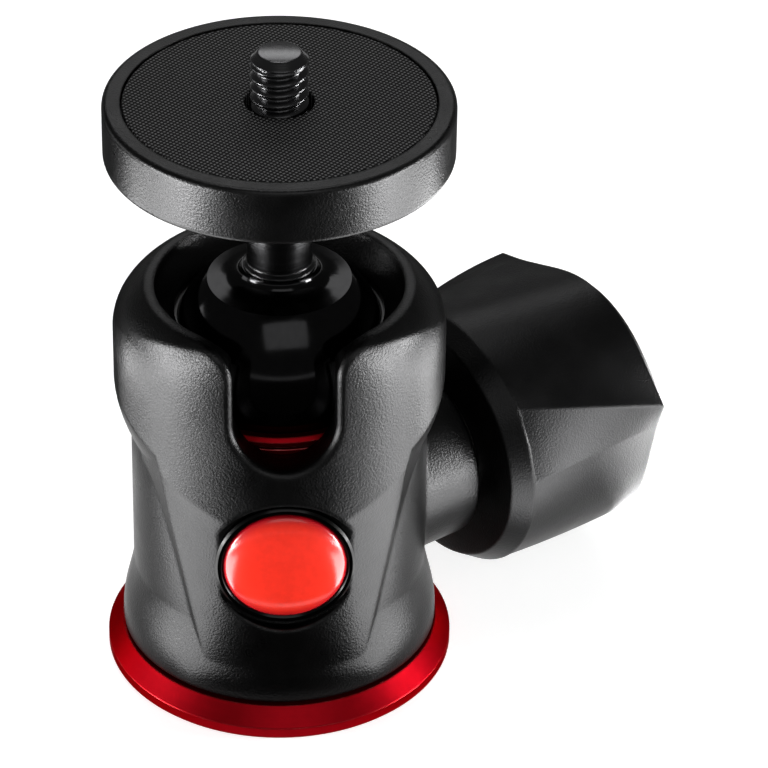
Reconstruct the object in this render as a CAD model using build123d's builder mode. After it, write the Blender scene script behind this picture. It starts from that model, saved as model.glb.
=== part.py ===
from build123d import *
import os
from math import cos, radians, sin, sqrt, tan

os.makedirs("parts", exist_ok=True)

# Compact ball head. Millimetres, +Z up, origin on the middle of the flat underside of the base.
# The notch that the stem tips into faces -Y, the lock knob points right and back.

# ---------------------------------------------------------------- driving sizes
run_gap = 0.05  # running fit, on the radius
fit_gap = 0.02  # close fit, on the radius
seat_gap = 0.03  # between the ball and its seats

ball_r = 12.0
ball_z = 40.0  # height of the ball's centre
ball_flat_r = 7.94  # where the ball is turned down to the stem
wall_gap = 0.6  # between the ball and the straight bore
wall_t = 4.0  # housing wall at the side flutes
shield_step = 0.7  # how far the front shield stands out from the flutes
skirt_step = 1.3
belly_step = 1.8
mouth_step = 1.2  # how much wider the mouth ends than the bore
rim_t = 1.1
rim_up = 8.4  # from the ball's centre up to the rim
waist_bottom_z = 12.3
waist_top_z = 26.8  # where the front swells out to the belly
flute_top_z = 30.2  # where the sides do
skirt_z = 5.0  # top of the straight foot
skirt_bevel = 0.3

base_h = 3.5  # top of the base, where the housing sits
base_step = 1.8  # how far the rim of the base stands out from the housing
base_edge = 1.55  # straight edge of that rim
base_bevel = 0.4
joint_gap = 0.3  # open line between base and housing
foot_ring_w = 4.1  # flat ring that the head stands on
foot_hub_w = 2.0
foot_relief = 0.5
wiper_w = 1.4
wiper_depth = 0.6

tripod_thread_r = 3.975  # minor radius of 3/8"-16
insert_wall = 2.225
insert_head_h = 2.0
head_overlap = 2.8  # how far the insert's head reaches past the base's hub
ring_h = 2.0  # threaded ring that holds the base up
ring_step = 0.9
slip_washer_h = 0.3
brake_disc_h = 2.0

slot_r = 5.6  # half the width of the front notch
slot_drop = 0.4  # centre of its round bottom, below the ball's centre
slot_blend_r = 3.8  # rounding from the notch into the mouth
slot_edge_r = 0.7  # rounding along the outside of the notch

neck_r = 3.6
collar_step = 0.4
collar_up = 1.8  # from the ball's flat up to the collar
tenon_r = 3.0
tenon_depth = 4.0  # how far the stem reaches below the ball's centre
cross_pin_r = 1.2
cross_pin_sink = 0.4  # how far the pin's ends lie inside the ball
plate_up = 24.8  # from the ball's centre up to the plate

plate_r = 19.0
plate_h = 6.5
plate_edge_r = 0.6
plate_rim_w = 1.7  # raised rim around the pad
pad_h = 1.6
pad_sink = 0.1  # how far the pad lies below the rim
pad_gap = 0.2
pad_hole_gap = 0.6
camera_thread_r = 3.175  # major radius of 1/4"-20
camera_thread_up = 6.0  # how far the screw stands above the pad
camera_tip = 0.85
thread_relief = 0.55
stud_head_r = 5.0
stud_head_h = 1.0
stud_tail_r = 2.0
stud_tail_h = 7.5

knob_angle = 34.0  # the knob's axis, from +X toward +Y
knob_z = 18.0
boss_r = 10.6
boss_end = 21.0  # measured from the middle of the head, along the knob's axis
boss_bevel = 0.5
knob_gap = 1.45  # between boss and knob
knob_l = 21.35
knob_face_r = 14.1
knob_flange_r = 15.6
knob_flange_l = 2.35
knob_end_bevel = 1.0
flange_ledge = 0.1  # how far the grip starts inside the flange's rim
wing_count = 3
wing_tip_r = 17.6
wing_mid_r = 17.4
wing_mid_l = 9.2  # from the flange to the section where the wings reach full height
wing_hollow_r = 14.8
grip_barrel_r = 16.0
spindle_r = 4.0  # M8 spindle
bushing_wall = 2.0
bushing_l = 5.2
thrust_washer_r = 8.0
thrust_washer_h = 0.5
knurl_r = 5.5
knurl_step = 1.55  # how deep the knurl starts in the knob
recess_depth = 7.8
cap_r = 9.9
cap_h = 1.7
cap_sink = 0.3
cap_skirt_l = 2.2
cap_wall = 1.2
screw_r = 2.0
screw_head_r = 3.6
screw_head_h = 2.4
hex_r = 1.5
screw_l = 8.0
washer_r = 8.0
washer_h = 0.6

wedge_slope = 20.0  # degrees, on the wedge pin and the foot of the cup
wedge_up = 1.3  # height of the sloped face above the knob's axis, in the middle of the head
wedge_gap = 0.02
pin_in = 7.5  # inner end of the wedge pin, past the middle of the head
saddle_drop = 2.2  # top of the saddle below the knob's axis
foot_half = 3.4  # half the side of the square foot under the cup
cup_up = 6.0  # floor of the cup above the knob's axis
cup_drop = 4.1  # rim of the cup below the ball's centre
cup_bevel = 0.4
cup_groove_drop = 5.4
cup_groove_h = 0.35
cup_groove_depth = 0.5
cup_relief_r = 4.0
seat_low = 2.0  # seat ring, below and above the ball's centre
seat_high = 4.3
lip_step = 0.4  # how much narrower than the ball the mouth's lip is

badge_z = 21.8
badge_r = 6.8
badge_sink = 0.9  # floor of the pocket behind the flutes' surface
badge_pocket_gap = 1.55
badge_bezel_w = 0.9
badge_bezel_h = 0.9
badge_bezel_bevel = 0.25
badge_edge_h = 0.7
badge_dome_h = 1.6
badge_peg_r = 1.5
badge_peg_l = 1.9

shield_low_z = 5.0
shield_high_z = 39.0
shield_low_in = 3.4  # walls of the shield at the back, low: inside the foot
shield_high_out = 0.8  # high: outside the belly
shield_back_y = -6.2  # the shield ends here on both sides
shield_lean = 9.95  # how far each wall of the shield closes in over wall_reach
wall_reach = 25.0
# ovals that trim the shoulders: height over the rim, half width and half depth over the belly
shoulder_ovals = (
    (-45.4, 2.1, 0.2),
    (-24.4, 1.1, -0.8),
    (-17.9, 0.4, -1.45),
    (-12.4, 0.15, -2.0),
    (-5.4, 0.05, -2.65),
    (0.2, -2.2, -3.4),
)
lean_tilt = 10.0  # how far the front of the shoulders leans back
lean_pivot_z = 24.4  # height about which it leans
lean_low_z = 34.6  # its lowest point, straight ahead

# ---------------------------------------------------------------- dependent sizes
bore_r = ball_r + wall_gap  # straight bore the ball, the cup and the lock parts go in from below
seat_r = ball_r + seat_gap
ball_flat_z = ball_z + sqrt(ball_r**2 - ball_flat_r**2)
collar_r = neck_r + collar_step
collar_z = ball_flat_z + collar_up
tenon_z = ball_z - tenon_depth
cross_pin_half = ball_r - cross_pin_sink

waist_r = bore_r + wall_t
shield_r = waist_r + shield_step
skirt_r = waist_r + skirt_step
belly_r = waist_r + belly_step
belly_low_z = ball_z - 3.0
belly_high_z = ball_z + 3.0
mouth_r = bore_r + mouth_step
rim_r = mouth_r + rim_t
rim_z = ball_z + rim_up
lip_r = ball_r - lip_step
seat_ring_top_z = ball_z + seat_high
slot_z = ball_z - slot_drop
slot_reach = 12.0

base_r = skirt_r + base_step
base_cone_r = skirt_r + 0.1
foot_ring_in = base_r - base_bevel - foot_ring_w
insert_shank_r = tripod_thread_r + insert_wall
insert_head_r = bore_r - 0.8
hub_r = insert_head_r - head_overlap
wiper_in_r = waist_r - 1.0
wiper_out_r = wiper_in_r + wiper_w
housing_foot_z = base_h + joint_gap
ring_r = bore_r + ring_step
ring_z = housing_foot_z + 0.2
ring_top_z = ring_z + ring_h
ring_shoulder_z = ring_top_z + run_gap
hub_top_z = ring_top_z + slip_washer_h + run_gap
head_top_z = hub_top_z + insert_head_h
disc_z = head_top_z + run_gap
disc_hole_r = tripod_thread_r + 0.5
saddle_z = disc_z + brake_disc_h
saddle_top_z = knob_z - saddle_drop

cup_r = bore_r - run_gap
cup_top_z = ball_z - cup_drop
cup_floor_z = knob_z + cup_up
cup_groove_z = ball_z - cup_groove_drop
wedge_mid_z = knob_z + wedge_up
wedge_rise = tan(radians(wedge_slope))

bushing_r = spindle_r + bushing_wall
bushing_in = boss_end - bushing_l
pin_out = bushing_in - 0.3
knob_in = boss_end + knob_gap
knob_flange_out = knob_in + knob_flange_l
knob_out = knob_in + knob_l
grip_r = knob_flange_r - flange_ledge
knurl_in = knob_in + knurl_step
knob_recess = knob_out - recess_depth
knurl_out = knob_recess - 0.1
cap_in = knob_out - cap_sink - cap_h

badge_floor_y = badge_sink - waist_r
badge_pocket_r = badge_r + badge_pocket_gap

plate_z = ball_z + plate_up
plate_top_z = plate_z + plate_h
pad_well_r = plate_r - plate_edge_r - plate_rim_w + 0.3
pad_r = pad_well_r - pad_gap
pad_floor_z = plate_top_z - pad_h - pad_sink
pad_top_z = pad_floor_z + pad_h
stud_floor_z = pad_floor_z - stud_head_h
stud_tail_z = stud_floor_z - stud_tail_h
spigot_r = tenon_r - fit_gap

knob_dir = (cos(radians(knob_angle)), sin(radians(knob_angle)), 0)
knob_side = (-sin(radians(knob_angle)), cos(radians(knob_angle)), 0)
# a plane square to the knob's axis: local X level, local Y up, local Z outward
knob_plane = Plane(origin=(0, 0, knob_z), x_dir=knob_side, z_dir=knob_dir)
# a plane along the knob's axis: local X outward, local Y up
knob_section = Plane(origin=(0, 0, 0), x_dir=knob_dir, z_dir=(knob_dir[1], -knob_dir[0], 0))
knob_axis = Axis(knob_plane.origin, knob_dir)


def save(part, name):
    """Label one finished piece and write it to its own file."""
    part.label = name
    export_step(part, f"parts/{name}.step")


# ---------------------------------------------------------------- red base
with BuildPart() as pan_base:
    with BuildSketch(Plane.XZ):
        with BuildLine():
            Polyline(
                (insert_shank_r + fit_gap, 0),
                (base_r - base_bevel, 0),
                (base_r, base_bevel),
                (base_r, base_edge),
                (base_cone_r, base_h),
                (hub_r, base_h),
                (hub_r, hub_top_z),
                (insert_shank_r + fit_gap, hub_top_z),
                close=True,
            )
        make_face()
    revolve(axis=Axis.Z)
    # shallow relief, so the head stands on a ring near the edge
    with BuildSketch(Plane.XY):
        Circle(foot_ring_in)
        Circle(insert_shank_r + foot_hub_w, mode=Mode.SUBTRACT)
    extrude(amount=foot_relief, mode=Mode.SUBTRACT)
    # groove for the wiper ring
    with BuildSketch(Plane.XY.offset(base_h)):
        Circle(wiper_out_r)
        Circle(wiper_in_r, mode=Mode.SUBTRACT)
    extrude(amount=-wiper_depth, mode=Mode.SUBTRACT)
save(pan_base.part, "pan_base")

# ---------------------------------------------------------------- wiper ring between base and housing
with BuildPart() as pan_wiper_ring:
    with BuildSketch(Plane.XY.offset(base_h - wiper_depth)):
        Circle(wiper_out_r - fit_gap)
        Circle(wiper_in_r + fit_gap, mode=Mode.SUBTRACT)
    extrude(amount=wiper_depth + joint_gap - run_gap)
save(pan_wiper_ring.part, "pan_wiper_ring")

# ---------------------------------------------------------------- steel insert with the tripod thread
with BuildPart() as tripod_insert:
    with BuildSketch(Plane.XY):
        Circle(insert_shank_r)
    extrude(amount=hub_top_z)
    with BuildSketch(Plane.XY.offset(hub_top_z)):
        Circle(insert_head_r)
    extrude(amount=insert_head_h)
    with BuildSketch(Plane.XY):
        Circle(tripod_thread_r)
    extrude(amount=head_top_z, mode=Mode.SUBTRACT)
save(tripod_insert.part, "tripod_insert")

# ---------------------------------------------------------------- slip washer and threaded ring
with BuildPart() as pan_slip_washer:
    with BuildSketch(Plane.XY.offset(ring_top_z + seat_gap)):
        Circle(insert_head_r - 0.2)
        Circle(hub_r + 0.3, mode=Mode.SUBTRACT)
    extrude(amount=slip_washer_h)
save(pan_slip_washer.part, "pan_slip_washer")

with BuildPart() as pan_retaining_ring:
    with BuildSketch(Plane.XY.offset(ring_z)):
        Circle(ring_r - run_gap)
        Circle(hub_r + run_gap, mode=Mode.SUBTRACT)
    extrude(amount=ring_h)
save(pan_retaining_ring.part, "pan_retaining_ring")

# ---------------------------------------------------------------- pan brake: friction disc and saddle
with BuildPart() as pan_brake_disc:
    with BuildSketch(Plane.XY.offset(disc_z)):
        Circle(bore_r - run_gap)
        Circle(disc_hole_r, mode=Mode.SUBTRACT)
    extrude(amount=brake_disc_h)
save(pan_brake_disc.part, "pan_brake_disc")

with BuildPart() as brake_saddle:
    with BuildSketch(Plane.XY.offset(saddle_z)):
        Circle(bore_r - run_gap)
        Circle(disc_hole_r, mode=Mode.SUBTRACT)
    extrude(amount=saddle_top_z - saddle_z)
    # trough that the wedge pin slides in
    with BuildSketch(knob_plane.offset(-bore_r)):
        Circle(spindle_r + run_gap)
    extrude(amount=2 * bore_r, mode=Mode.SUBTRACT)
save(brake_saddle.part, "brake_saddle")

# ---------------------------------------------------------------- housing
# raised shield on the front: a fuller turned skin, kept only between two leaning walls
with BuildPart() as shield:
    with BuildSketch(Plane.XZ):
        with BuildLine():
            Line((bore_r, shield_low_z), (shield_r + 0.4, shield_low_z))
            Spline(
                (shield_r + 0.4, shield_low_z),
                (shield_r, waist_bottom_z),
                (shield_r, badge_z),
                (shield_r + 0.15, waist_top_z),
                (belly_r - 0.4, waist_top_z + 5.8),
                (belly_r - fit_gap, belly_low_z),
            )
            Polyline(
                (belly_r - fit_gap, belly_low_z),
                (belly_r - fit_gap, shield_high_z),
                (bore_r, shield_high_z),
                (bore_r, shield_low_z),
            )
        make_face()
    revolve(axis=Axis.Z)
with BuildPart() as shield_walls:
    low_half = skirt_r - shield_low_in
    high_half = belly_r + shield_high_out
    for height, half_back in ((shield_low_z, low_half), (shield_high_z, high_half)):
        with BuildSketch(Plane.XY.offset(height)):
            with BuildLine():
                side_in = shield_lean * -shield_back_y / wall_reach
                Polyline(
                    (side_in - half_back, shield_back_y),
                    (half_back - side_in, shield_back_y),
                    (half_back - shield_lean, -wall_reach),
                    (shield_lean - half_back, -wall_reach),
                    close=True,
                )
            make_face()
    loft(ruled=True)

# soft facets on the shoulders: the outside is kept within these widening ovals
with BuildPart() as shoulder_form:
    for over_rim, over_side, over_front in shoulder_ovals:
        with BuildSketch(Plane.XY.offset(rim_z + over_rim)):
            Ellipse(belly_r + over_side, belly_r + over_front)
    loft()

# what the leaning front of the shoulders cuts from the belly
lean_r = belly_r + (lean_low_z - lean_pivot_z) * tan(radians(lean_tilt))
with BuildPart() as front_lean:
    with Locations((0, -2 * belly_r, waist_top_z)):
        Box(4 * belly_r, 4 * belly_r, 2 * belly_r, align=(Align.CENTER, Align.CENTER, Align.MIN))
    with Locations(Location((0, 0, lean_pivot_z), (-lean_tilt, 0, 0))):
        Cylinder(lean_r, 6 * belly_r, mode=Mode.SUBTRACT)

with BuildPart() as housing:
    # turned outside: foot, side flutes, belly, shoulder
    with BuildSketch(Plane.XZ):
        with BuildLine():
            Polyline(
                (0, rim_z),
                (0, housing_foot_z),
                (skirt_r - skirt_bevel, housing_foot_z),
                (skirt_r, housing_foot_z + skirt_bevel),
                (skirt_r, skirt_z),
            )
            Spline(
                (skirt_r, skirt_z),
                (skirt_r - 0.4, skirt_z + 3.0),
                (waist_r, waist_bottom_z),
                tangents=((0, 1), (-0.12, 1)),
            )
            Line((waist_r, waist_bottom_z), (waist_r, flute_top_z))
            Spline(
                (waist_r, flute_top_z),
                (belly_r - 0.4, flute_top_z + 3.8),
                (belly_r, belly_low_z),
                tangents=((0.5, 1), (0, 1)),
            )
            Line((belly_r, belly_low_z), (belly_r, belly_high_z))
            Spline(
                (belly_r, belly_high_z),
                (belly_r - 1.0, belly_high_z + 3.0),
                (rim_r, rim_z),
                tangents=((0, 1), (-1, 0.75)),
            )
            Line((rim_r, rim_z), (0, rim_z))
        make_face()
    revolve(axis=Axis.Z)
    add(shield.part & shield_walls.part)
    add(shoulder_form.part, mode=Mode.INTERSECT)
    # the front of the shoulders leans back and meets the belly in a soft V
    add(front_lean.part, mode=Mode.SUBTRACT)
    # boss for the lock knob
    with BuildSketch(knob_plane.offset(bore_r - wall_t)):
        Circle(boss_r)
    extrude(amount=boss_end - bore_r + wall_t)
    boss_rim = housing.edges().filter_by(GeomType.CIRCLE).sort_by(knob_axis)[-1]
    chamfer(boss_rim, boss_bevel)
    # bore, shoulder for the seat ring and the mouth
    with BuildSketch(Plane.XZ):
        with BuildLine():
            Polyline(
                (mouth_r, rim_z),
                (mouth_r, rim_z + rim_t),
                (0, rim_z + rim_t),
                (0, 0),
                (ring_r, 0),
                (ring_r, ring_shoulder_z),
                (bore_r, ring_shoulder_z),
                (bore_r, seat_ring_top_z + fit_gap),
                (lip_r, seat_ring_top_z + fit_gap),
                (lip_r, seat_ring_top_z + 0.7),
            )
            Spline(
                (lip_r, seat_ring_top_z + 0.7),
                (mouth_r - 0.9, rim_z - 1.6),
                (mouth_r, rim_z),
                tangents=((0.8, 1), (0.25, 1)),
            )
        make_face()
    revolve(axis=Axis.Z, mode=Mode.SUBTRACT)
    # front notch, rounded out into the mouth
    with BuildSketch(Plane.XZ.offset(ball_r - wall_t)):
        with BuildLine():
            ThreePointArc((-slot_r, slot_z), (0, slot_z - slot_r), (slot_r, slot_z))
            Line((slot_r, slot_z), (slot_r, rim_z - slot_blend_r))
            RadiusArc(
                (slot_r, rim_z - slot_blend_r),
                (slot_r + slot_blend_r, rim_z),
                slot_blend_r,
            )
            Polyline(
                (slot_r + slot_blend_r, rim_z),
                (slot_r + slot_blend_r, rim_z + rim_t),
                (-slot_r - slot_blend_r, rim_z + rim_t),
                (-slot_r - slot_blend_r, rim_z),
            )
            RadiusArc(
                (-slot_r - slot_blend_r, rim_z),
                (-slot_r, rim_z - slot_blend_r),
                slot_blend_r,
            )
            Line((-slot_r, rim_z - slot_blend_r), (-slot_r, slot_z))
        make_face()
    extrude(amount=slot_reach, mode=Mode.SUBTRACT)
    # the outside of the notch is rounded over
    notch_edges = housing.edges().filter_by(
        lambda edge: edge.center().Y < -mouth_r
        and abs(edge.center().X) < slot_r + slot_blend_r
        and edge.center().Z > slot_z - slot_r - slot_edge_r
    )
    fillet(notch_edges, slot_edge_r)
    # guide for the wedge pin and seat for the threaded bushing
    with BuildSketch(knob_plane.offset(bore_r - wall_t)):
        Circle(spindle_r + run_gap)
    extrude(amount=bushing_in - bore_r + wall_t, mode=Mode.SUBTRACT)
    with BuildSketch(knob_plane.offset(bushing_in)):
        Circle(bushing_r)
    extrude(amount=bushing_l + knob_gap, mode=Mode.SUBTRACT)
    # round pocket for the badge on the front
    with BuildSketch(Plane.XZ.offset(-badge_floor_y)):
        with Locations((0, badge_z)):
            Circle(badge_pocket_r)
    extrude(amount=wall_t, mode=Mode.SUBTRACT)
    with BuildSketch(Plane.XZ.offset(-badge_floor_y)):
        with Locations((0, badge_z)):
            Circle(badge_peg_r + fit_gap)
    extrude(amount=-badge_peg_l - 0.1, mode=Mode.SUBTRACT)
save(housing.part, "housing")

# ---------------------------------------------------------------- upper seat ring in the housing
with BuildPart() as upper_seat_ring:
    with BuildSketch(Plane.XY.offset(ball_z - seat_low)):
        Circle(bore_r - fit_gap)
    extrude(amount=seat_low + seat_high)
    with Locations((0, 0, ball_z)):
        Sphere(seat_r, mode=Mode.SUBTRACT)
    # opening that lines up with the front notch
    with BuildSketch(Plane.XZ.offset(slot_r)):
        with Locations((0, ball_z + seat_high / 2)):
            Rectangle(2 * slot_r + 0.6, 3 * seat_high)
    extrude(amount=slot_reach, mode=Mode.SUBTRACT)
save(upper_seat_ring.part, "upper_seat_ring")

# ---------------------------------------------------------------- badge
with BuildPart() as badge_bezel:
    with BuildSketch(Plane.XZ.offset(-badge_floor_y)):
        with Locations((0, badge_z)):
            Circle(badge_r + badge_bezel_w)
            Circle(badge_r + fit_gap, mode=Mode.SUBTRACT)
    extrude(amount=badge_bezel_h)
    bezel_front = badge_bezel.faces().sort_by(Axis.Y)[0]
    chamfer(bezel_front.edges(), badge_bezel_bevel)
save(badge_bezel.part, "badge_bezel")

with BuildPart() as badge_dome:
    with BuildSketch(Plane.XY.offset(badge_z)):
        with BuildLine():
            Polyline(
                (0, badge_floor_y + badge_peg_l),
                (badge_peg_r, badge_floor_y + badge_peg_l),
                (badge_peg_r, badge_floor_y - fit_gap),
                (badge_r, badge_floor_y - fit_gap),
                (badge_r, badge_floor_y - badge_edge_h),
            )
            Spline(
                (badge_r, badge_floor_y - badge_edge_h),
                (badge_r - 0.7, badge_floor_y - badge_edge_h - 0.35),
                (0, badge_floor_y - badge_dome_h),
                tangents=((-0.4, -1), (-1, 0)),
            )
            Line((0, badge_floor_y - badge_dome_h), (0, badge_floor_y + badge_peg_l))
        make_face()
    revolve(axis=Axis((0, 0, badge_z), (0, 1, 0)))
save(badge_dome.part, "badge_dome")

# ---------------------------------------------------------------- lock train: bushing, pin, cup
with BuildPart() as spindle_bushing:
    with BuildSketch(knob_plane.offset(bushing_in + fit_gap)):
        Circle(bushing_r - fit_gap)
        Circle(spindle_r + run_gap, mode=Mode.SUBTRACT)
    extrude(amount=bushing_l - fit_gap)
save(spindle_bushing.part, "spindle_bushing")

with BuildPart() as wedge_pin:
    with BuildSketch(knob_plane.offset(-pin_in)):
        Circle(spindle_r)
    extrude(amount=pin_out + pin_in)
    # flat that rises outward under the foot of the cup
    with BuildSketch(knob_section):
        with BuildLine():
            Polyline(
                (-2 * pin_in, wedge_mid_z - 2 * pin_in * wedge_rise),
                (2 * pin_in, wedge_mid_z + 2 * pin_in * wedge_rise),
                (2 * pin_in, wedge_mid_z + 3 * pin_in),
                (-2 * pin_in, wedge_mid_z + 3 * pin_in),
                close=True,
            )
        make_face()
    extrude(amount=2 * spindle_r, both=True, mode=Mode.SUBTRACT)
save(wedge_pin.part, "wedge_pin")

with BuildPart() as lower_cup:
    with BuildSketch(Plane.XZ):
        with BuildLine():
            Polyline(
                (0, cup_top_z),
                (0, cup_floor_z),
                (cup_r - cup_bevel, cup_floor_z),
                (cup_r, cup_floor_z + cup_bevel),
                (cup_r, cup_groove_z),
                (cup_r - cup_groove_depth, cup_groove_z),
                (cup_r - cup_groove_depth, cup_groove_z + cup_groove_h),
                (cup_r, cup_groove_z + cup_groove_h),
                (cup_r, cup_top_z - cup_bevel),
                (cup_r - cup_bevel, cup_top_z),
                close=True,
            )
        make_face()
    revolve(axis=Axis.Z)
    with Locations((0, 0, ball_z)):
        Sphere(seat_r, mode=Mode.SUBTRACT)
    # relief under the ball
    with BuildSketch(Plane.XY.offset(cup_floor_z + 2.0)):
        Circle(cup_relief_r)
    extrude(amount=cup_relief_r, mode=Mode.SUBTRACT)
    # foot that rides on the wedge pin
    with BuildSketch(knob_section):
        with BuildLine():
            Polyline(
                (-foot_half, wedge_mid_z + wedge_gap - foot_half * wedge_rise),
                (foot_half, wedge_mid_z + wedge_gap + foot_half * wedge_rise),
                (foot_half, cup_floor_z),
                (-foot_half, cup_floor_z),
                close=True,
            )
        make_face()
    extrude(amount=foot_half, both=True)
save(lower_cup.part, "lower_cup")

# ---------------------------------------------------------------- lock knob and its spindle
with BuildPart() as lock_spindle:
    with BuildSketch(knob_plane.offset(pin_out + fit_gap)):
        Circle(spindle_r)
    extrude(amount=knurl_in - pin_out - fit_gap)
    with BuildSketch(knob_plane.offset(knurl_in)):
        Circle(knurl_r)
    extrude(amount=knurl_out - knurl_in)
    with BuildSketch(knob_plane.offset(knurl_out)):
        Circle(screw_r + fit_gap)
    extrude(amount=-screw_l - 1.0, mode=Mode.SUBTRACT)
save(lock_spindle.part, "lock_spindle")

with BuildPart() as thrust_washer:
    with BuildSketch(knob_plane.offset(knob_in - run_gap)):
        Circle(thrust_washer_r)
        Circle(spindle_r + run_gap, mode=Mode.SUBTRACT)
    extrude(amount=-thrust_washer_h)
save(thrust_washer.part, "thrust_washer")


def wing_outline(tip_r, tip_turn, edge_r, edge_turn, hollow_r):
    """One section of the winged grip: per wing a tip, a flat facet below it and a finger hollow above it."""
    points = []
    for wing in range(wing_count):
        start = 180 - tip_turn - wing * 360 / wing_count
        span = 360 / wing_count - tip_turn + edge_turn
        steps = (
            (edge_r, start + tip_turn - edge_turn),
            (tip_r, start),
            (edge_r * 0.75 + tip_r * 0.25, start - span * 0.13),
            (edge_r, start - span * 0.32),
            (edge_r * 0.6 + hollow_r * 0.4, start - span * 0.58),
            (hollow_r, start - span * 0.82),
        )
        points.append([(r * cos(radians(a)), r * sin(radians(a))) for r, a in steps])
    with BuildSketch() as outline:
        with BuildLine():
            for wing in range(wing_count):
                following = points[(wing + 1) % wing_count][0]
                Line(points[wing][0], points[wing][1])
                Spline(*points[wing][1:], following)
        make_face()
    return outline.sketch


with BuildPart() as knob_body:
    # flange toward the housing
    with BuildSketch(knob_plane.offset(knob_in)):
        Circle(knob_face_r)
    with BuildSketch(knob_plane.offset(knob_flange_out)):
        Circle(knob_flange_r)
    loft()
    # winged grip: its wings grow out of the round flange toward the outer end
    with BuildSketch(knob_plane.offset(knob_flange_out)):
        add(wing_outline(grip_r, 40.0, grip_r, 6.0, grip_r))
    with BuildSketch(knob_plane.offset(knob_flange_out + wing_mid_l)):
        add(wing_outline(wing_mid_r, 29.0, grip_barrel_r, 9.0, wing_hollow_r + 0.4))
    with BuildSketch(knob_plane.offset(knob_out)):
        add(wing_outline(wing_tip_r, 18.0, grip_barrel_r, 10.0, wing_hollow_r))
    loft()
    outer_edges = knob_body.edges().group_by(knob_axis)[-1]
    chamfer(outer_edges, knob_end_bevel)
    # bore for the spindle, seat for its knurl, recess behind the cap
    with BuildSketch(knob_plane.offset(knob_in)):
        Circle(spindle_r + fit_gap)
    extrude(amount=knurl_step, mode=Mode.SUBTRACT)
    with BuildSketch(knob_plane.offset(knurl_in)):
        Circle(knurl_r + fit_gap)
    extrude(amount=knob_recess - knurl_in, mode=Mode.SUBTRACT)
    with BuildSketch(knob_plane.offset(knob_recess)):
        Circle(cap_r + fit_gap)
    extrude(amount=recess_depth, mode=Mode.SUBTRACT)
save(knob_body.part, "knob_body")

with BuildPart() as knob_screw:
    with BuildSketch(knob_plane.offset(knob_recess + washer_h)):
        Circle(screw_r)
    extrude(amount=-screw_l)
    with BuildSketch(knob_plane.offset(knob_recess + washer_h)):
        Circle(screw_head_r)
    extrude(amount=screw_head_h)
    with BuildSketch(knob_plane.offset(knob_recess + washer_h + screw_head_h)):
        RegularPolygon(hex_r, 6)
    extrude(amount=-hex_r, mode=Mode.SUBTRACT)
save(knob_screw.part, "knob_screw")

with BuildPart() as knob_washer:
    with BuildSketch(knob_plane.offset(knob_recess)):
        Circle(washer_r)
        Circle(screw_r + fit_gap, mode=Mode.SUBTRACT)
    extrude(amount=washer_h)
save(knob_washer.part, "knob_washer")

with BuildPart() as knob_cap:
    with BuildSketch(knob_plane.offset(cap_in)):
        Circle(cap_r)
    extrude(amount=cap_h)
    cap_edge = knob_cap.edges().sort_by(knob_axis)[-1]
    chamfer(cap_edge, cap_sink)
    with BuildSketch(knob_plane.offset(cap_in)):
        Circle(cap_r)
        Circle(cap_r - cap_wall, mode=Mode.SUBTRACT)
    extrude(amount=-cap_skirt_l)
save(knob_cap.part, "knob_cap")

# ---------------------------------------------------------------- ball, cross pin and stem
with BuildPart() as stem_cross_pin:
    with BuildSketch(Plane.YZ.offset(-cross_pin_half)):
        with Locations((0, ball_z)):
            Circle(cross_pin_r)
    extrude(amount=2 * cross_pin_half)
save(stem_cross_pin.part, "stem_cross_pin")

with BuildPart() as ball:
    with BuildSketch(Plane.XZ):
        with BuildLine():
            ThreePointArc(
                (0, ball_z - ball_r),
                (ball_r, ball_z),
                (ball_flat_r, ball_flat_z),
            )
            Spline(
                (ball_flat_r, ball_flat_z),
                (collar_r + 1.4, ball_flat_z + 0.35),
                (collar_r + 0.15, collar_z),
                tangents=((-1, 0.05), (-0.1, 1)),
            )
            Polyline(
                (collar_r + 0.15, collar_z),
                (tenon_r + fit_gap, collar_z),
                (tenon_r + fit_gap, tenon_z - fit_gap),
                (0, tenon_z - fit_gap),
                (0, ball_z - ball_r),
            )
        make_face()
    revolve(axis=Axis.Z)
    # hole right through for the cross pin
    with BuildSketch(Plane.YZ.offset(-ball_r - cross_pin_r)):
        with Locations((0, ball_z)):
            Circle(cross_pin_r + fit_gap)
    extrude(amount=2 * (ball_r + cross_pin_r), mode=Mode.SUBTRACT)
save(ball.part, "ball")

with BuildPart() as stem:
    with BuildSketch(Plane.XZ):
        with BuildLine():
            Polyline(
                (0, tenon_z),
                (tenon_r, tenon_z),
                (tenon_r, collar_z),
                (collar_r, collar_z),
                (collar_r, collar_z + collar_step / 2),
                (neck_r, collar_z + collar_step * 1.5),
                (neck_r, plate_z),
                (spigot_r, plate_z),
                (spigot_r, stud_floor_z - fit_gap),
                (0, stud_floor_z - fit_gap),
                close=True,
            )
        make_face()
    revolve(axis=Axis.Z)
    with BuildSketch(Plane.XY.offset(stud_floor_z)):
        Circle(stud_tail_r + fit_gap)
    extrude(amount=-stud_tail_h - 0.5, mode=Mode.SUBTRACT)
    with BuildSketch(Plane.YZ.offset(-collar_r)):
        with Locations((0, ball_z)):
            Circle(cross_pin_r + fit_gap)
    extrude(amount=2 * collar_r, mode=Mode.SUBTRACT)
save(stem.part, "stem")

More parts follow.
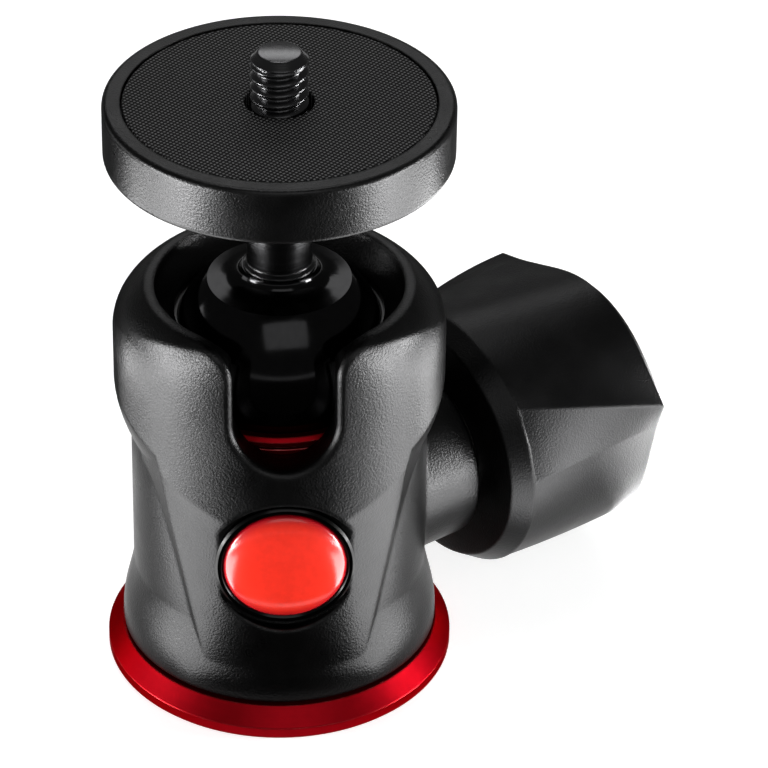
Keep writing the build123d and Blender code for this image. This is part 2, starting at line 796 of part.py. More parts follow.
# ---------------------------------------------------------------- camera plate, pad and screw
with BuildPart() as camera_plate:
    with BuildSketch(Plane.XY.offset(plate_z + fit_gap)):
        Circle(plate_r)
    extrude(amount=plate_h - fit_gap)
    fillet(camera_plate.edges(), plate_edge_r)
    # well for the pad, seat for the screw's head, hole for the stem
    with BuildSketch(Plane.XY.offset(pad_floor_z)):
        Circle(pad_well_r)
    extrude(amount=pad_h + pad_sink, mode=Mode.SUBTRACT)
    with BuildSketch(Plane.XY.offset(stud_floor_z)):
        Circle(stud_head_r + run_gap)
    extrude(amount=stud_head_h, mode=Mode.SUBTRACT)
    with BuildSketch(Plane.XY.offset(plate_z)):
        Circle(spigot_r + run_gap)
    extrude(amount=stud_floor_z - plate_z, mode=Mode.SUBTRACT)
save(camera_plate.part, "camera_plate")

with BuildPart() as grip_pad:
    with BuildSketch(Plane.XY.offset(pad_floor_z)):
        Circle(pad_r)
        Circle(camera_thread_r + pad_hole_gap, mode=Mode.SUBTRACT)
    extrude(amount=pad_h)
    pad_face = grip_pad.faces().sort_by(Axis.Z)[-1]
    chamfer(pad_face.edges(), pad_sink)
save(grip_pad.part, "grip_pad")

with BuildPart() as camera_screw:
    with BuildSketch(Plane.XZ):
        with BuildLine():
            Polyline(
                (0, stud_tail_z),
                (stud_tail_r, stud_tail_z),
                (stud_tail_r, stud_floor_z),
                (stud_head_r, stud_floor_z),
                (stud_head_r, pad_floor_z),
                (camera_thread_r - thread_relief, pad_floor_z),
                (camera_thread_r - thread_relief, pad_top_z - thread_relief / 2),
                (camera_thread_r, pad_top_z + thread_relief / 2),
                (camera_thread_r, pad_top_z + camera_thread_up - camera_tip),
                (camera_thread_r - camera_tip, pad_top_z + camera_thread_up),
                (0, pad_top_z + camera_thread_up),
                close=True,
            )
        make_face()
    revolve(axis=Axis.Z)
save(camera_screw.part, "camera_screw")
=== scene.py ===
# %% [markdown]
# # A compact ball head
# A ball head sits between a tripod and a camera. Its solids come from a CAD model and are fixed,
# so this lesson gives each one its finish, adds the screw threads that the CAD leaves out,
# and lights the whole like a small product shot.

# %% Load the fixed frame
from math import atan, cos, pi, radians, sin

import bmesh
import bpy
from mathutils import Matrix, Vector


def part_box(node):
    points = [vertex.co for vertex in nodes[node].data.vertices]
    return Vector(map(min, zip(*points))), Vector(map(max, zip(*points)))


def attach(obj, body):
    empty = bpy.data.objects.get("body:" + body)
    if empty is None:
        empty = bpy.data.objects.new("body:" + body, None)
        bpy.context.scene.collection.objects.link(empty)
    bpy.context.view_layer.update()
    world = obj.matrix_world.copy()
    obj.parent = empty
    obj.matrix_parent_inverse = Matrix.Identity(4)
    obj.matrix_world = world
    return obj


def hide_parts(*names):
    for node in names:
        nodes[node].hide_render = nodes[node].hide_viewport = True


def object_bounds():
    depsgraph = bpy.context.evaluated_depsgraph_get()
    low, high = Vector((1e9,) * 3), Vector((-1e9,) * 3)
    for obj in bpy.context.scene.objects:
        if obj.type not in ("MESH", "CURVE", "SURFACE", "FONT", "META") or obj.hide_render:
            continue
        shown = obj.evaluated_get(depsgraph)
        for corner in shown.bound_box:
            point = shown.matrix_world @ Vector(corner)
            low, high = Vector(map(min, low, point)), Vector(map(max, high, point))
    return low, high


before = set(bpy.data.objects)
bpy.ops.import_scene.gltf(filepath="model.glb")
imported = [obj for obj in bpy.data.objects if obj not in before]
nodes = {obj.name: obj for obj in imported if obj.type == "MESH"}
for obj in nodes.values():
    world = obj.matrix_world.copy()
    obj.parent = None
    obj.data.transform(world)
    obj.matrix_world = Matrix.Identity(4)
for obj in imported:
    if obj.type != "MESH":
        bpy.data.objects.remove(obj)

MM = 0.001
cad_low, cad_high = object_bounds()
print("CAD pieces:", len(nodes), "box in mm:", [round(v / MM, 2) for v in (*cad_low, *cad_high)])

# %% [markdown]
# ## Small helpers for node trees
# A procedural material is a graph of nodes. A few short helpers keep the later cells readable: they
# add a node and set its values, link two sockets, and do the sums and colour mixes in one line each.

# %% Helpers: add and link nodes
def put(tree, kind, **values):
    """Add a node. Values named after its sockets go to the sockets, all others to its settings."""
    node = tree.nodes.new(kind)
    for key, value in values.items():
        name = key.replace("_", " ")
        socket = next((s for s in node.inputs if s.name == name and s.enabled), None)
        if socket is not None and not hasattr(node, key):
            socket.default_value = value
        else:
            setattr(node, key, value)
    return node


def wire(tree, source, target):
    """Link an output socket to an input socket."""
    tree.links.new(source, target)


def millimetres(tree):
    """The piece's own coordinates, in millimetres, so that every grain size is a real one."""
    place = tree.nodes.new("ShaderNodeTexCoord")
    scale = put(tree, "ShaderNodeVectorMath", operation="SCALE")
    wire(tree, place.outputs["Object"], scale.inputs[0])
    scale.inputs["Scale"].default_value = 1 / MM
    return scale.outputs[0]


print("node helpers: put, wire, millimetres")

# %% Helpers: sums, spans and colour mixes
def math_node(tree, operation, first, second=None, clamp=False):
    """A Math node from sockets or plain numbers, returning its output."""
    node = tree.nodes.new("ShaderNodeMath")
    node.operation = operation
    node.use_clamp = clamp
    for socket, value in zip(node.inputs, (first, second)):
        if isinstance(value, bpy.types.NodeSocket):
            wire(tree, value, socket)
        elif value is not None:
            socket.default_value = value
    return node.outputs[0]


def remap(tree, value, low, high, to_low, to_high):
    """Map Range from one span of numbers to another, held at its ends."""
    node = tree.nodes.new("ShaderNodeMapRange")
    wire(tree, value, node.inputs["Value"])
    for name, number in zip(("From Min", "From Max", "To Min", "To Max"), (low, high, to_low, to_high)):
        node.inputs[name].default_value = number
    return node.outputs["Result"]


def mix_colors(tree, factor, first, second):
    """Mix two colours by a factor socket."""
    node = tree.nodes.new("ShaderNodeMix")
    node.data_type = "RGBA"
    wire(tree, factor, node.inputs["Factor"])
    for socket, value in ((node.inputs[6], first), (node.inputs[7], second)):
        if isinstance(value, bpy.types.NodeSocket):
            wire(tree, value, socket)
        else:
            socket.default_value = (*value, 1.0)
    return node.outputs[2]


print("sum helpers: math_node, remap, mix_colors")

# %% [markdown]
# ## Shader node groups
# An effect that several finishes share, such as a pebbled coat or a rubbed edge, is built once as a
# shader node group. Its named inputs are the values that differ from finish to finish, and it gives
# back only masks, heights and normals, so the shader itself stays in each material.

# %% Helpers: open a group, place it in a material
FLOAT, VECTOR = "NodeSocketFloat", "NodeSocketVector"


def open_group(name, inputs, outputs):
    """A new shader node group with named sockets. Returns the group, its input node and its output node."""
    group = bpy.data.node_groups.new(name, "ShaderNodeTree")
    for label, kind, default in inputs:
        socket = group.interface.new_socket(label, in_out="INPUT", socket_type=kind)
        socket.default_value = default
    for label, kind in outputs:
        group.interface.new_socket(label, in_out="OUTPUT", socket_type=kind)
    return group, group.nodes.new("NodeGroupInput"), group.nodes.new("NodeGroupOutput")


def place_group(tree, group, **values):
    """A group's node in a material, with its own values."""
    node = tree.nodes.new("ShaderNodeGroup")
    node.node_tree = group
    for key, value in values.items():
        node.inputs[key.replace("_", " ")].default_value = value
    return node


print("group helpers: open_group, place_group")

# %% [markdown]
# ## Shared effect: pebbled coat
# Powder paint flows into small rounded pebbles as it melts. A soft noise about a quarter of a
# millimetre wide makes the pebbles, a finer one roughens them, and a wide, weak one lets the gloss
# drift over the surface. The same group, with other grain sizes, serves for moulded plastic and rubber.

# %% Group: pebbled coat
PEBBLE_SPAN = (0.32, 0.68)  # the part of the noise that is stretched from hollow to top
FINE_SPAN = (0.35, 0.65)
DRIFT_SPAN = (0.3, 0.7)
GRIT_PER_PEBBLE = 3.1
DRIFT_PER_MM = 0.22
pebble_group, g_in, g_out = open_group(
    "pebbled_coat",
    [("Grain", FLOAT, 0.4), ("Fine", FLOAT, 0.35), ("Seed", FLOAT, 0.0)],
    [("Height", FLOAT), ("Gloss drift", FLOAT), ("Tint", FLOAT)],
)
place = millimetres(pebble_group)
shifted = put(pebble_group, "ShaderNodeVectorMath", operation="ADD")
wire(pebble_group, place, shifted.inputs[0])
wire(pebble_group, g_in.outputs["Seed"], shifted.inputs[1])
per_mm = math_node(pebble_group, "DIVIDE", 1.0, g_in.outputs["Grain"])
pebbles = put(pebble_group, "ShaderNodeTexNoise", Detail=1.0, Roughness=0.45)
fine = put(pebble_group, "ShaderNodeTexNoise", Detail=2.0, Roughness=0.6)
drift = put(pebble_group, "ShaderNodeTexNoise", Scale=DRIFT_PER_MM, Detail=3.0, Roughness=0.55)
wire(pebble_group, per_mm, pebbles.inputs["Scale"])
wire(pebble_group, math_node(pebble_group, "MULTIPLY", per_mm, GRIT_PER_PEBBLE), fine.inputs["Scale"])
for texture in (pebbles, fine, drift):
    wire(pebble_group, shifted.outputs[0], texture.inputs["Vector"])
rounded = remap(pebble_group, pebbles.outputs["Fac"], *PEBBLE_SPAN, 0.0, 1.0)
grit = math_node(pebble_group, "MULTIPLY", fine.outputs["Fac"], g_in.outputs["Fine"])
height = math_node(pebble_group, "ADD", rounded, grit)
gloss_drift = remap(pebble_group, drift.outputs["Fac"], *DRIFT_SPAN, -1.0, 1.0)
flecks = remap(pebble_group, fine.outputs["Fac"], *FINE_SPAN, 0.0, 1.0)
wire(pebble_group, height, g_out.inputs["Height"])
wire(pebble_group, gloss_drift, g_out.inputs["Gloss drift"])
wire(pebble_group, flecks, g_out.inputs["Tint"])
print("pebbled_coat nodes:", len(pebble_group.nodes))

# %% [markdown]
# ## Shared effect: rubbed edges and painted edge highlight
# Hands and bags polish the outer edges of a tool first. The Bevel node rounds the normal near an
# edge. Where that rounded normal leaves the true one, there is an edge. A noise breaks the mask up,
# so the rub isn't an even outline. The finishes paint this mask lighter, partly as wear and partly as
# a painted highlight: the bright line that a rounded edge catches.

# %% Group: rubbed edges, also used for the painted edge highlight
TURN_SPAN = (0.02, 0.25)  # how far the rounded normal has left the true one: rub begins, rub is full
PATCH_SPAN = (0.35, 0.7)
edge_group, g_in, g_out = open_group(
    "rubbed_edges_and_highlight",
    [("Width", FLOAT, 0.3), ("Amount", FLOAT, 1.0)],
    [("Mask", FLOAT), ("Normal", VECTOR)],
)
round_edge = put(edge_group, "ShaderNodeBevel", samples=6)
wire(edge_group, math_node(edge_group, "MULTIPLY", g_in.outputs["Width"], MM), round_edge.inputs["Radius"])
surface = edge_group.nodes.new("ShaderNodeNewGeometry")
compare = put(edge_group, "ShaderNodeVectorMath", operation="DOT_PRODUCT")
wire(edge_group, round_edge.outputs["Normal"], compare.inputs[0])
wire(edge_group, surface.outputs["Normal"], compare.inputs[1])
turn = math_node(edge_group, "SUBTRACT", 1.0, compare.outputs["Value"])
patch = put(edge_group, "ShaderNodeTexNoise", Scale=0.9, Detail=4.0, Roughness=0.65)
wire(edge_group, millimetres(edge_group), patch.inputs["Vector"])
spread = remap(edge_group, turn, *TURN_SPAN, 0.0, 1.0)
broken = remap(edge_group, patch.outputs["Fac"], *PATCH_SPAN, 0.0, 1.0)
uneven_rub = math_node(edge_group, "MULTIPLY", spread, broken)
worn = math_node(edge_group, "MULTIPLY", uneven_rub, g_in.outputs["Amount"])
wire(edge_group, worn, g_out.inputs["Mask"])
wire(edge_group, round_edge.outputs["Normal"], g_out.inputs["Normal"])
print("rubbed_edges_and_highlight nodes:", len(edge_group.nodes))

# %% [markdown]
# ## Shared effect: turning lines
# A lathe leaves rings round the axis. Only the distance from the axis and the height matter, so
# a noise is read at those two numbers and comes out as rings. A second, slow noise makes the
# finish change a little round the piece.

# %% Group: turning lines
LINE_SPAN = (0.25, 0.75)
SLOW_SPAN = (0.3, 0.7)
lathe_group, g_in, g_out = open_group(
    "turning_lines",
    [("Pitch", FLOAT, 0.12)],
    [("Lines", FLOAT), ("Patches", FLOAT)],
)
place = millimetres(lathe_group)
split = lathe_group.nodes.new("ShaderNodeSeparateXYZ")
wire(lathe_group, place, split.inputs[0])
across = math_node(lathe_group, "MULTIPLY", split.outputs["X"], split.outputs["X"])
along = math_node(lathe_group, "MULTIPLY", split.outputs["Y"], split.outputs["Y"])
from_axis = math_node(lathe_group, "SQRT", math_node(lathe_group, "ADD", across, along))
rings = lathe_group.nodes.new("ShaderNodeCombineXYZ")
wire(lathe_group, from_axis, rings.inputs["X"])
wire(lathe_group, split.outputs["Z"], rings.inputs["Y"])
line_noise = put(lathe_group, "ShaderNodeTexNoise", Detail=2.0, Roughness=0.5)
wire(lathe_group, rings.outputs[0], line_noise.inputs["Vector"])
wire(lathe_group, math_node(lathe_group, "DIVIDE", 1.0, g_in.outputs["Pitch"]), line_noise.inputs["Scale"])
patches = put(lathe_group, "ShaderNodeTexNoise", Scale=0.35, Detail=3.0, Roughness=0.6)
wire(lathe_group, place, patches.inputs["Vector"])
wire(lathe_group, remap(lathe_group, line_noise.outputs["Fac"], *LINE_SPAN, 0.0, 1.0), g_out.inputs["Lines"])
wire(lathe_group, remap(lathe_group, patches.outputs["Fac"], *SLOW_SPAN, 0.0, 1.0), g_out.inputs["Patches"])
print("turning_lines nodes:", len(lathe_group.nodes))

# %% [markdown]
# ## Coated and moulded finishes
# Housing and plate are die cast and powder coated, the knob is moulded, the seal ring is rubber and the
# slip rings are black acetal. They differ in colour, gloss and grain, so one function builds them all
# from the pebbled coat and the rubbed edges. A plain black plastic shader turns grey where it is seen
# at a flat angle. The black coats avoid that: they are metallic with a nearly black base, which sets
# how much they mirror face on, and their glance, the tint of the flat-angle mirror, is turned down.

# %% Helper: start a material
def start_material(name):
    """An empty node material with one Principled shader on its output."""
    material = bpy.data.materials.new(name)
    material.use_nodes = True
    tree = material.node_tree
    tree.nodes.clear()
    shader = tree.nodes.new("ShaderNodeBsdfPrincipled")
    output = tree.nodes.new("ShaderNodeOutputMaterial")
    wire(tree, shader.outputs[0], output.inputs["Surface"])
    return material, tree, shader


print("material helper: start_material")

# %% Function: coated finish
FLECK, COAT_DRIFT, RUB_POLISH = 1.35, 0.04, -0.12  # lighter flecks, gloss drift, smoother where rubbed
COAT_FINE, COAT_RUB = 0.35, 0.5


def coated(name, color, rub_and_highlight_color, roughness, grain, depth, gloss=0.5, edge=0.3, glance=None):
    """Paint, moulded plastic or rubber: pebbled grain, drifting gloss, rubbed edges painted lighter as wear
    and as a highlight.
    """
    material, tree, shader = start_material(name)
    coat = place_group(tree, pebble_group, Grain=grain, Fine=COAT_FINE)
    edges = place_group(tree, edge_group, Width=edge, Amount=COAT_RUB)
    tint = mix_colors(tree, coat.outputs["Tint"], color, [c * FLECK for c in color])
    # The edge colour is partly wear and partly a painted highlight along the edges.
    wire(tree, mix_colors(tree, edges.outputs["Mask"], tint, rub_and_highlight_color), shader.inputs["Base Color"])
    drifting = math_node(tree, "MULTIPLY", coat.outputs["Gloss drift"], COAT_DRIFT)
    rougher = math_node(tree, "ADD", drifting, roughness)
    polished = math_node(tree, "MULTIPLY", edges.outputs["Mask"], RUB_POLISH)
    wire(tree, math_node(tree, "ADD", rougher, polished, clamp=True), shader.inputs["Roughness"])
    bump = put(tree, "ShaderNodeBump", Strength=1.0, Distance=depth * MM)
    wire(tree, coat.outputs["Height"], bump.inputs["Height"])
    wire(tree, edges.outputs["Normal"], bump.inputs["Normal"])
    wire(tree, bump.outputs["Normal"], shader.inputs["Normal"])
    shader.inputs["Specular IOR Level"].default_value = gloss
    if glance is not None:
        shader.inputs["Metallic"].default_value = 1.0
        shader.inputs["Specular Tint"].default_value = (glance, glance, glance, 1.0)
    return material


print("coated: flecks", FLECK, "times as light, gloss drifts by", COAT_DRIFT)

# %% Finishes made with it: coats
# colour, colour where rubbed and painted as an edge highlight, roughness, width and height of the grain in
# millimetres
finishes = {
    "housing_coat": coated(
        "housing_coat", (0.017, 0.017, 0.0172), (0.07, 0.07, 0.07), 0.31, 0.24, 0.014, edge=0.8, glance=0.7
    ),
    "plate_coat": coated(
        "plate_coat", (0.017, 0.017, 0.0172), (0.03, 0.03, 0.03), 0.31, 0.22, 0.012, glance=0.7
    ),
    "knob_plastic": coated(
        "knob_plastic", (0.013, 0.013, 0.0132), (0.02, 0.02, 0.02), 0.36, 0.2, 0.012, edge=0.5, glance=0.85
    ),
    "black_rubber": coated(
        "black_rubber", (0.007, 0.007, 0.007), (0.012, 0.012, 0.012), 0.72, 0.3, 0.02, gloss=0.35
    ),
    "friction_black": coated(
        "friction_black", (0.02, 0.018, 0.016), (0.03, 0.028, 0.026), 0.85, 0.5, 0.06, gloss=0.2
    ),
    "acetal": coated(
        "acetal", (0.012, 0.012, 0.012), (0.03, 0.03, 0.03), 0.42, 0.6, 0.006, gloss=0.45
    ),
}
print("coated finishes:", ", ".join(finishes))

# %% [markdown]
# ## Turned metal finishes
# The base and the cup are turned aluminium with red anodising: a metal whose colour is in the
# oxide, so it stays metallic and tinted. Steel, brass and bare aluminium are the same recipe in
# their own colours, and so are the blackened stem and camera screw.

# %% Function: turned metal
LINE_GLOSS, VALLEY_SHADE, TURNED_EDGE = 0.1, 0.86, 0.25


def turned(name, color, roughness, pitch, depth, rub=0.4, rub_and_highlight_color=None, tint=(1, 1, 1)):
    """Lathe-turned metal: rings in height and gloss, slow patches, edges painted brighter as wear and as a
    highlight.
    """
    material, tree, shader = start_material(name)
    lines = place_group(tree, lathe_group, Pitch=pitch)
    edges = place_group(tree, edge_group, Width=TURNED_EDGE, Amount=rub)
    darker = [c * VALLEY_SHADE for c in color]
    ringed = mix_colors(tree, lines.outputs["Patches"], darker, color)
    # The edge colour is partly wear and partly a painted highlight along the edges.
    bright = rub_and_highlight_color or [min(1.0, c * 1.25 + 0.02) for c in color]
    wire(tree, mix_colors(tree, edges.outputs["Mask"], ringed, bright), shader.inputs["Base Color"])
    wobble = math_node(tree, "MULTIPLY", lines.outputs["Lines"], LINE_GLOSS)
    smoothest = roughness - LINE_GLOSS / 2
    wire(tree, math_node(tree, "ADD", wobble, smoothest, clamp=True), shader.inputs["Roughness"])
    bump = put(tree, "ShaderNodeBump", Strength=1.0, Distance=depth * MM)
    wire(tree, lines.outputs["Lines"], bump.inputs["Height"])
    wire(tree, edges.outputs["Normal"], bump.inputs["Normal"])
    wire(tree, bump.outputs["Normal"], shader.inputs["Normal"])
    shader.inputs["Metallic"].default_value = 1.0
    shader.inputs["Specular Tint"].default_value = (*tint, 1.0)
    return material


print("turned: rings vary the roughness by", LINE_GLOSS, "and edges are", TURNED_EDGE, "mm wide")

# %% Finishes made with it: turned metals
# colour, roughness, pitch and depth of the turning lines in millimetres
turned_finishes = {
    # The pink edge colour of the red anodising is a painted highlight along the rims of base and cup.
    "red_anodised": turned(
        "red_anodised", (0.27, 0.003, 0.007), 0.4, 0.1, 0.0015,
        rub=0.8, rub_and_highlight_color=(0.8, 0.2, 0.2), tint=(0.3, 0.02, 0.03),
    ),
    "bright_steel": turned("bright_steel", (0.6, 0.6, 0.61), 0.3, 0.12, 0.003),
    "brass": turned("brass", (0.72, 0.5, 0.2), 0.32, 0.12, 0.003),
    "bare_aluminium": turned("bare_aluminium", (0.72, 0.73, 0.75), 0.35, 0.15, 0.003),
    "stem_grey": turned("stem_grey", (0.035, 0.035, 0.036), 0.22, 0.16, 0.004, rub_and_highlight_color=(0.2, 0.2, 0.2)),
    "screw_dark": turned("screw_dark", (0.075, 0.075, 0.077), 0.22, 0.2, 0.002),
}
finishes.update(turned_finishes)
print("turned finishes:", ", ".join(turned_finishes))

# %% [markdown]
# ## Gloss finishes
# The ball is ground, polished and blackened. It shows its surroundings almost like a mirror, with
# only faint smudges, so it is the same nearly black metal as the coats but smooth. The bezel round
# the badge is made the same way, a little duller.

# %% Function: gloss finish
BALL_GLANCE = 0.6
SMUDGE_GRAIN, SMUDGE_FINE, SMUDGE_SEED = 2.6, 0.5, 11.0
SMUDGE_DRIFT = 0.03
WAVINESS = 0.0008  # millimetres


def glossy(name, color, roughness):
    """Polished black: faint smudges in the gloss and a trace of waviness."""
    material, tree, shader = start_material(name)
    marks = place_group(tree, pebble_group, Grain=SMUDGE_GRAIN, Fine=SMUDGE_FINE, Seed=SMUDGE_SEED)
    brighter = [min(1.0, c * 1.12) for c in color]
    wire(tree, mix_colors(tree, marks.outputs["Tint"], color, brighter), shader.inputs["Base Color"])
    drifting = math_node(tree, "MULTIPLY", marks.outputs["Gloss drift"], SMUDGE_DRIFT)
    wire(tree, math_node(tree, "ADD", drifting, roughness, clamp=True), shader.inputs["Roughness"])
    bump = put(tree, "ShaderNodeBump", Strength=1.0, Distance=WAVINESS * MM)
    wire(tree, marks.outputs["Height"], bump.inputs["Height"])
    wire(tree, bump.outputs["Normal"], shader.inputs["Normal"])
    shader.inputs["Metallic"].default_value = 1.0
    shader.inputs["Specular Tint"].default_value = (BALL_GLANCE, BALL_GLANCE, BALL_GLANCE, 1.0)
    return material


print("gloss: smudges", SMUDGE_GRAIN, "mm wide, waves", WAVINESS, "mm high")

# %% Finishes made with it: gloss
# colour, roughness
gloss_finishes = {
    "ball_black": glossy("ball_black", (0.018, 0.018, 0.0185), 0.12),
    "black_gloss": glossy("black_gloss", (0.014, 0.014, 0.014), 0.2),
}
finishes.update(gloss_finishes)
print("gloss finishes:", ", ".join(gloss_finishes))

# %% [markdown]
# ## Badge
# The badge is printed red under a clear, domed drop of resin. The resin is thickest in the middle and
# runs down to the rim. There the red is painted deeper as shade, and a bump rounds the dome so that it
# catches the light. The distance from the badge's own middle drives both: the painted shade, and a bump
# that rounds the rim more than the solid does.

# %% Material: domed badge
RIM_SHADE_FROM, RIM_SHADE_POWER = 0.78, 1.5  # where the painted rim shade starts, in shares of the radius, and how it grows
FALL_POWER = 5.0


def domed_badge(name, node, color, rim_shade_color, roughness, rim_fall):
    """Red print under a resin dome. The rim is painted darker as shade and rounds away."""
    material, tree, shader = start_material(name)
    low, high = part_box(node)
    radius = (high[0] - low[0]) / 2 / MM
    from_middle = put(tree, "ShaderNodeVectorMath", operation="SUBTRACT")
    wire(tree, millimetres(tree), from_middle.inputs[0])
    from_middle.inputs[1].default_value = [(a + b) / 2 / MM for a, b in zip(low, high)]
    split = tree.nodes.new("ShaderNodeSeparateXYZ")
    wire(tree, from_middle.outputs[0], split.inputs[0])
    squares = [math_node(tree, "MULTIPLY", split.outputs[axis], split.outputs[axis]) for axis in "XZ"]
    reach = math_node(tree, "DIVIDE", math_node(tree, "SQRT", math_node(tree, "ADD", *squares)), radius)
    marks = place_group(tree, pebble_group, Grain=SMUDGE_GRAIN, Fine=SMUDGE_FINE, Seed=SMUDGE_SEED)
    brighter = [min(1.0, c * 1.1) for c in color]
    red = mix_colors(tree, marks.outputs["Tint"], color, brighter)
    # Painted shade: the red darkens towards the rim of the dome.
    deep = math_node(tree, "POWER", remap(tree, reach, RIM_SHADE_FROM, 1.0, 0.0, 1.0), RIM_SHADE_POWER)
    wire(tree, mix_colors(tree, deep, red, rim_shade_color), shader.inputs["Base Color"])
    drifting = math_node(tree, "MULTIPLY", marks.outputs["Gloss drift"], SMUDGE_DRIFT)
    wire(tree, math_node(tree, "ADD", drifting, roughness, clamp=True), shader.inputs["Roughness"])
    crown = math_node(tree, "MULTIPLY", math_node(tree, "POWER", reach, FALL_POWER), -1.0)
    bump = put(tree, "ShaderNodeBump", Strength=1.0, Distance=rim_fall * MM)
    wire(tree, crown, bump.inputs["Height"])
    wire(tree, bump.outputs["Normal"], shader.inputs["Normal"])
    print(name, "radius in mm:", round(radius, 2))
    return material


finishes["badge_red"] = domed_badge(
    "badge_red", "badge_dome", color=(0.55, 0.019, 0.009), rim_shade_color=(0.25, 0.002, 0.008),
    roughness=0.2, rim_fall=0.8,
)

# %% [markdown]
# ## The grip pad's dot pattern
# The rubber pad is moulded with a fine grid of raised dots, about 0.46 mm apart, that runs
# diagonally. Taking the coordinates modulo the pitch gives every cell the same centred dot.
# The dot tops are painted lighter grey as a highlight, for the light that raised tops catch, and a grain
# makes it uneven.

# %% Material: dotted pad
PAD_BLACK, DOT_HIGHLIGHT_GREY = (0.003, 0.003, 0.0032), (0.22, 0.22, 0.222)
DOT_TOP = 0.35  # the flat top of a dot, in shares of its radius
PAD_DULL, DOT_DULL = 0.78, 0.5
DOT_HEIGHT, PAD_GRAIN = 0.05, 0.16  # millimetres
PAD_GLOSS = 0.12


def dotted_pad(name, pitch, turn_deg, dot_share):
    """Rubber with a grid of small raised dots on its top face, their tops painted lighter as a highlight."""
    material, tree, shader = start_material(name)
    spin = put(tree, "ShaderNodeVectorRotate", rotation_type="Z_AXIS", Angle=radians(turn_deg))
    wire(tree, millimetres(tree), spin.inputs["Vector"])
    split = tree.nodes.new("ShaderNodeSeparateXYZ")
    wire(tree, spin.outputs[0], split.inputs[0])
    squares = []
    for axis in "XY":
        cell = math_node(tree, "WRAP", split.outputs[axis], pitch / 2)
        cell.node.inputs[2].default_value = -pitch / 2
        squares.append(math_node(tree, "MULTIPLY", cell, cell))
    away = math_node(tree, "SQRT", math_node(tree, "ADD", *squares))
    dot = remap(tree, away, pitch * dot_share, pitch * dot_share * DOT_TOP, 0.0, 1.0)
    grain = place_group(tree, pebble_group, Grain=PAD_GRAIN, Fine=0.4)
    uneven = remap(tree, grain.outputs["Tint"], 0.0, 1.0, 0.35, 1.0)
    strength = math_node(tree, "MULTIPLY", dot, uneven)
    # Painted highlight: the dot tops are lighter grey than the black rubber between them.
    wire(tree, mix_colors(tree, strength, PAD_BLACK, DOT_HIGHLIGHT_GREY), shader.inputs["Base Color"])
    wire(tree, remap(tree, dot, 0.0, 1.0, PAD_DULL, DOT_DULL), shader.inputs["Roughness"])
    rough_top = math_node(tree, "ADD", dot, math_node(tree, "MULTIPLY", grain.outputs["Height"], 0.25))
    bump = put(tree, "ShaderNodeBump", Strength=1.0, Distance=DOT_HEIGHT * MM)
    wire(tree, rough_top, bump.inputs["Height"])
    wire(tree, bump.outputs["Normal"], shader.inputs["Normal"])
    shader.inputs["Specular IOR Level"].default_value = PAD_GLOSS
    print(name, "dots in mm:", pitch, "apart,", round(2 * pitch * dot_share, 2), "wide")
    return material


finishes["pad_dots"] = dotted_pad("pad_dots", pitch=0.46, turn_deg=38.0, dot_share=0.4)

# %% [markdown]
# ## Finishes on the CAD pieces
# Each CAD piece keeps its solid and gets a finish through its material slot.

# %% Assign finishes
finish_of = {
    "pan_base": "red_anodised",
    "lower_cup": "red_anodised",
    "tripod_insert": "bright_steel",
    "pan_wiper_ring": "black_rubber",
    "pan_slip_washer": "acetal",
    "pan_retaining_ring": "brass",
    "pan_brake_disc": "friction_black",
    "brake_saddle": "bare_aluminium",
    "housing": "housing_coat",
    "upper_seat_ring": "acetal",
    "badge_bezel": "black_gloss",
    "badge_dome": "badge_red",
    "spindle_bushing": "brass",
    "wedge_pin": "bright_steel",
    "lock_spindle": "bright_steel",
    "thrust_washer": "acetal",
    "knob_body": "knob_plastic",
    "knob_screw": "bright_steel",
    "knob_washer": "bright_steel",
    "knob_cap": "knob_plastic",
    "ball": "ball_black",
    "stem_cross_pin": "bright_steel",
    "stem": "stem_grey",
    "camera_plate": "plate_coat",
    "grip_pad": "pad_dots",
    "camera_screw": "screw_dark",
}
for node_name, finish in finish_of.items():
    mesh = nodes[node_name].data
    mesh.materials.clear()
    mesh.materials.append(finishes[finish])
print("pieces with a finish:", len(finish_of))

# %% [markdown]
# ## Screw threads
# A thread is a groove that climbs one pitch per turn. On a grid of angles and heights, the radius
# at each point is a wave of height minus the climb at that angle, with straight flanks and small
# flats, so a plain grid of points becomes a true helix. It fades out at both ends of the thread.

# %% Function: thread wave
GROOVE_FLAT, FLANK_SHARE = 0.14, 0.7


def thread_wave(height, angle, pitch):
    """1 on a crest, 0 in a groove, straight flanks between, for a right-hand thread."""
    share = (height / pitch - angle / (2 * pi)) % 1.0
    flank = abs(share - 0.5) * 2
    return min(1.0, max(0.0, (flank - GROOVE_FLAT) / FLANK_SHARE))


def steps_between(low, high, count):
    """Evenly spaced heights, ends included."""
    return [low + (high - low) * i / count for i in range(count + 1)]


print("thread helpers: thread_wave, steps_between")

# %% Function: threaded turned piece
AROUND = 96  # points round each ring
SHARP_EDGE = radians(38)


